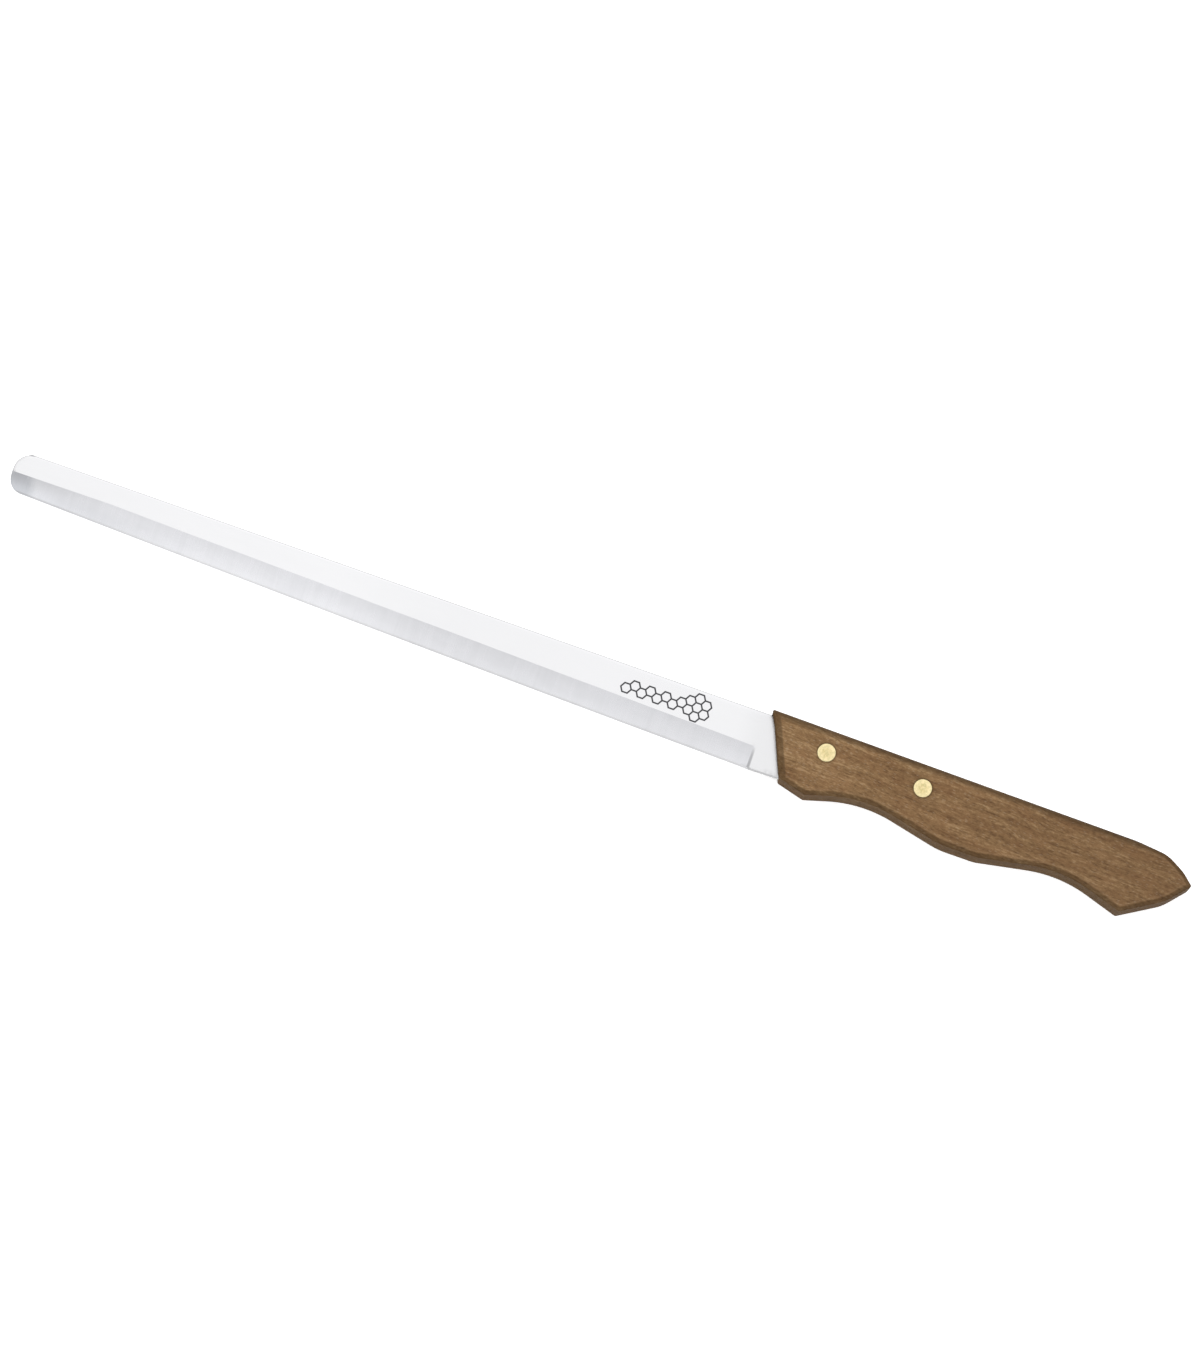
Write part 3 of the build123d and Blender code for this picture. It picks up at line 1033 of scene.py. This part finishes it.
def paint_tip_shade(s, colour, cloud, darkening):
    """Painted shade: dark at the very tip, with a faint tail along the cutting edge."""
    tip_line = TIP_X + SHIFT[0] + TIP_FADE[1] * (SHIFT[1] - TIP_WIDTH / 2)
    behind = s.math("SUBTRACT", s.along(TIP_FADE), tip_line * MM)
    behind = s.math("ADD", behind, s.math("MULTIPLY", cloud, TIP_WAVER * MM))
    tip_shade_mask = s.span(behind, TIP_SHADE_FADE[0] * MM, TIP_SHADE_FADE[1] * MM)
    shallow, deep = [(SHIFT[1] - depth) * MM for depth in TIP_TAIL_DEPTHS]
    near_edge = s.span(s.along((0, 1, 0)), shallow, deep, *TIP_TAIL_SHARES)
    tip_tail_mask = s.math("MULTIPLY", s.span(behind, TIP_TAIL_FADE[0] * MM, TIP_TAIL_FADE[1] * MM), near_edge)
    colour = s.mix(tip_tail_mask, colour, TIP_SHADE_STEEL)
    return s.stain(colour, tip_shade_mask, darkening, TIP_SHADE_STEEL)


def steel_material(name, tone, ground, rough_low, rough_high, mark=False, tip=0.0):
    """Stainless steel with fine lines along the blade, or across it where it was ground. tip is how much
    darker the painted shade at the very tip is."""
    s = Shader(name)
    run = (6.0, 0.05, 0.05) if ground else (0.03, 5.0, 5.0)
    slow = (0.35, 0.02, 0.02) if ground else (0.015, 0.35, 0.35)
    dark, light = (0.94, 1.05) if ground else (0.965, 1.03)
    tipward_light, heelward_shade = (1.03, 0.93) if ground else (1.0, 0.965)
    line_depth = 0.0008 if ground else 0.0006
    lines = s.noise(s.stretch(run), detail=4, rough=0.7)
    bands = s.noise(s.stretch(slow, shift=(3, 7, 1)), detail=3, rough=0.6)
    cloud = s.noise(s.stretch((0.08, 0.2, 0.2), shift=(9, 2, 5)), detail=3, rough=0.55)
    share = s.weigh((lines, 0.25), (bands, 0.35), (cloud, 0.4))
    colour = s.mix(s.span(share, 0.3, 0.7), tuple(c * dark for c in tone), tuple(c * light for c in tone))
    # painted light and shade: the steel is painted brighter towards the tip and darker towards the heel
    light_change_at = (PAINTED_LIGHT_X + SHIFT[0]) * MM
    towards_heel = s.span(s.along((1, 0, 0)), light_change_at - PAINTED_LIGHT_FADE * MM, light_change_at + PAINTED_LIGHT_FADE * MM)
    colour = s.shade(colour, towards_heel, grey(tipward_light), grey(heelward_shade))
    # painted shade on the flat steel beside the handle
    if not ground:
        start, end = [(HEEL_X + SHIFT[0] + offset) * MM for offset in RICASSO_FADE]
        near_handle = s.span(s.along((1, 0, 0)), start, end)
        colour = s.shade(colour, near_handle, grey(1.0), grey(RICASSO_PAINTED_SHADE))
    if mark:
        etched = comb_mark(s)
        colour = s.stain(colour, etched, 0.95, ETCHED_STEEL)
    # painted shade on rims and walls that turn away from the face
    normal = s.node("ShaderNodeTexCoord").outputs["Normal"]
    facing = s.math("ABSOLUTE", s.vector("DOT_PRODUCT", normal, (0, 0, 1)))
    painted_rim_shade = s.weigh((s.span(facing, 0.99, 0.60), 0.18), (s.span(facing, 0.50, 0.20), 0.60))
    colour = s.mix(painted_rim_shade, colour, RIM_SHADE_STEEL)
    # painted shade at the very tip
    if tip:
        colour = paint_tip_shade(s, colour, cloud, tip)
    s.put(s.bsdf.inputs["Base Color"], colour)
    s.bsdf.inputs["Metallic"].default_value = 1.0
    rough = s.span(share, 0.3, 0.7, rough_low, rough_high)
    if mark:
        rough = s.math("ADD", rough, s.math("MULTIPLY", etched, 0.3))
    s.put(s.bsdf.inputs["Roughness"], rough)
    s.bump(s.weigh((lines, 0.6), (bands, 0.4)), line_depth * MM)
    return s.material


# ---- brass and floor

def brass_material():
    """Flush brass heads: mottled, scratched, and rubbed brighter towards their rims."""
    s = Shader("rivet_brass")
    wear = s.noise(s.stretch((0.9, 1.4, 1.0)), detail=5, rough=0.65)
    fine = s.noise(s.stretch((7, 2.2, 7), turn=0.7), detail=3, rough=0.7)
    mottle = s.noise(s.stretch((1.5, 1.5, 1.5), shift=(4, 1, 2)), detail=3, rough=0.6)
    front, rear = [s.from_rivet(centre) for centre in RIVETS.values()]
    rubbed = s.span(s.math("MINIMUM", front, rear), RUBBED_FROM[0] * MM, RUBBED_FROM[1] * MM)
    colour = s.mix(s.span(wear, 0.35, 0.65), BRASS_DULL, BRASS_BRIGHT)
    colour = s.stain(colour, s.span(fine, 0.45, 0.75), 0.35, BRASS_SCRATCH)
    colour = s.stain(colour, rubbed, 0.55, BRASS_RUBBED)
    colour = s.shade(colour, s.span(mottle, 0.38, 0.62), (0.91, 0.93, 0.89), (1.14, 1.12, 1.13))
    s.put(s.bsdf.inputs["Base Color"], colour)
    s.bsdf.inputs["Metallic"].default_value = 1.0
    s.put(s.bsdf.inputs["Roughness"], s.span(wear, 0.3, 0.7, 0.34, 0.46))
    s.bump(s.weigh((wear, 0.6), (fine, 0.4)), 0.02 * MM)
    return s.material


def floor_material():
    s = Shader("pale_floor")
    soft = s.noise(s.stretch((0.01, 0.01, 0.01)), detail=3)
    s.put(s.bsdf.inputs["Base Color"], s.mix(soft, grey(0.90), grey(0.93)))
    s.bsdf.inputs["Roughness"].default_value = 0.9
    s.bsdf.inputs["Specular IOR Level"].default_value = 0.1
    s.bsdf.inputs["Emission Color"].default_value = (1, 1, 1, 1)
    s.bsdf.inputs["Emission Strength"].default_value = FLOOR_GLOW
    return s.material


# ---- build the knife

blade_mesh = make_blade()
slot_mesh = blade_mesh.copy()
blade_mesh.normal_update()
slot_mesh.normal_update()
for vertex in slot_mesh.verts:
    vertex.co += vertex.normal * SLOT_GAP
regions = [blade_region(*face.calc_center_median()[:2]) for face in blade_mesh.faces]
blade = finish_mesh(blade_mesh, "blade_steel", 35, is_grind_line)
blade.data.polygons.foreach_set("material_index", regions)
blade.data.materials.append(steel_material("blade_flat", STEEL, False, 0.20, 0.27, mark=True))
blade.data.materials.append(steel_material("blade_bevel", GROUND_STEEL, True, 0.22, 0.30, tip=0.34))
blade.data.materials.append(steel_material("blade_edge", HONED_STEEL, True, 0.16, 0.24, tip=0.28))
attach(blade, "root")
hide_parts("blade")

# the slot for the tang is the blade's own shape, a little larger
slot_cutter = finish_mesh(slot_mesh, "slot_cutter", 35)
handle = finish_mesh(make_handle(), "handle_wood", 32)
cut(handle, slot_cutter)
bpy.data.objects.remove(slot_cutter)
handle.data.materials.clear()
handle.data.materials.append(wood_material("handle_face", sheen=0.15, side_shade_strength=0.50))
handle.data.materials.append(wood_material("handle_side_shaded", sheen=0.04, side_shade_strength=0.54))
# the sides get a copy of the wood with more painted shade and less sheen
for polygon in handle.data.polygons:
    polygon.material_index = int(abs(polygon.normal.z) < SIDE_NORMAL)
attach(handle, "root")
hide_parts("handle")

# how deep each point is inside the side outline, for the painted shade on the rim
places = np.empty(len(handle.data.vertices) * 3)
handle.data.vertices.foreach_get("co", places)
depths = distance(places.reshape(-1, 3)[:, :2] / MM, outline)
handle.data.attributes.new("edge_depth", "FLOAT", "POINT").data.foreach_set("value", depths)

brass = brass_material()
for place, centre in RIVETS.items():
    for half_name, maker in (("pin", make_pin), ("tube", make_tube)):
        rivet = finish_mesh(maker(centre), f"{place}_rivet_{half_name}_brass", 40)
        rivet.data.materials.append(brass)
        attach(rivet, "root")
        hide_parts(f"{place}_rivet_{half_name}")


# ---- floor, light and camera

def add_floor():
    data = bpy.data.meshes.new("floor")
    mesh = bmesh.new()
    bmesh.ops.create_grid(mesh, x_segments=8, y_segments=8, size=FLOOR_SIZE)
    mesh.to_mesh(data)
    mesh.free()
    floor = add_object("floor", data)
    floor.location = (0, 0, cad_low.z - FLOOR_GAP)
    data.materials.append(floor_material())


def add_sky():
    """An even pale sky with a soft brighter patch."""
    world = bpy.data.worlds.new("studio")
    bpy.context.scene.world = world
    world.use_nodes = True
    sky = Nodes(world.node_tree)
    sky.tree.nodes.clear()
    towards = sky.node("ShaderNodeTexCoord").outputs["Generated"]
    angle = sky.math("ARCCOSINE", sky.vector("DOT_PRODUCT", towards, SKY_AXIS))
    squared = sky.math("MULTIPLY", angle, angle)
    patch = sky.math("EXPONENT", sky.math("MULTIPLY", squared, -0.5 / SKY_SPREAD ** 2))
    glow = sky.math("ADD", sky.math("MULTIPLY", patch, SKY_PEAK), SKY_BASE)
    background = sky.node("ShaderNodeBackground")
    background.inputs["Color"].default_value = (1, 1, 1, 1)
    sky.put(background.inputs["Strength"], glow)
    output = sky.node("ShaderNodeOutputWorld")
    sky.put(output.inputs["Surface"], background.outputs[0])


def add_light():
    """A large soft lamp overhead, which the steel doesn't mirror."""
    data = bpy.data.lights.new("overhead", "AREA")
    data.shape = "RECTANGLE"
    data.size, data.size_y = LIGHT_SIZE
    data.energy = LIGHT_POWER
    light = add_object("overhead", data)
    light.location = LIGHT_PLACE
    light.visible_glossy = False


def aim_point(axes):
    """The point at floor level to look at, in millimetres, for the knife to be in the middle of the frame."""
    shown = np.array([v.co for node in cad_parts.values() for v in node.data.vertices]) / MM
    target = shown.mean(0)
    for _ in range(AIM_ROUNDS):
        seen = (shown - target) @ axes.T
        scale = CAMERA_DISTANCE / (CAMERA_DISTANCE - seen[:, 2])
        flat_seen = seen[:, :2] * scale[:, None]
        middle = (flat_seen.min(0) + flat_seen.max(0)) / 2
        target = target + middle @ axes[:2]
        target = target - axes[2] * target[2] / axes[2][2]
    return target - np.array(FRAME_NUDGE) @ axes[:2]


def add_camera():
    data = bpy.data.cameras.new("camera")
    data.sensor_width = SENSOR
    data.lens = SENSOR * CAMERA_DISTANCE * PIXELS_PER_MM / max(IMAGE_WIDTH, IMAGE_HEIGHT)
    data.clip_start = 0.1
    data.clip_end = 20
    camera = add_object("camera", data)
    bpy.context.scene.camera = camera
    right = CAMERA_UP.cross(TOWARDS_CAMERA).normalized()
    up = TOWARDS_CAMERA.cross(right)
    target = Vector(aim_point(np.array([right, up, TOWARDS_CAMERA])))
    place = (target + TOWARDS_CAMERA * CAMERA_DISTANCE) * MM
    turned = Matrix((right, up, TOWARDS_CAMERA)).transposed().to_4x4()
    camera.matrix_world = Matrix.Translation(place) @ turned


add_floor()
add_sky()
add_light()
add_camera()
bpy.context.scene.view_settings.view_transform = "Standard"
bpy.context.scene.view_settings.look = "None"
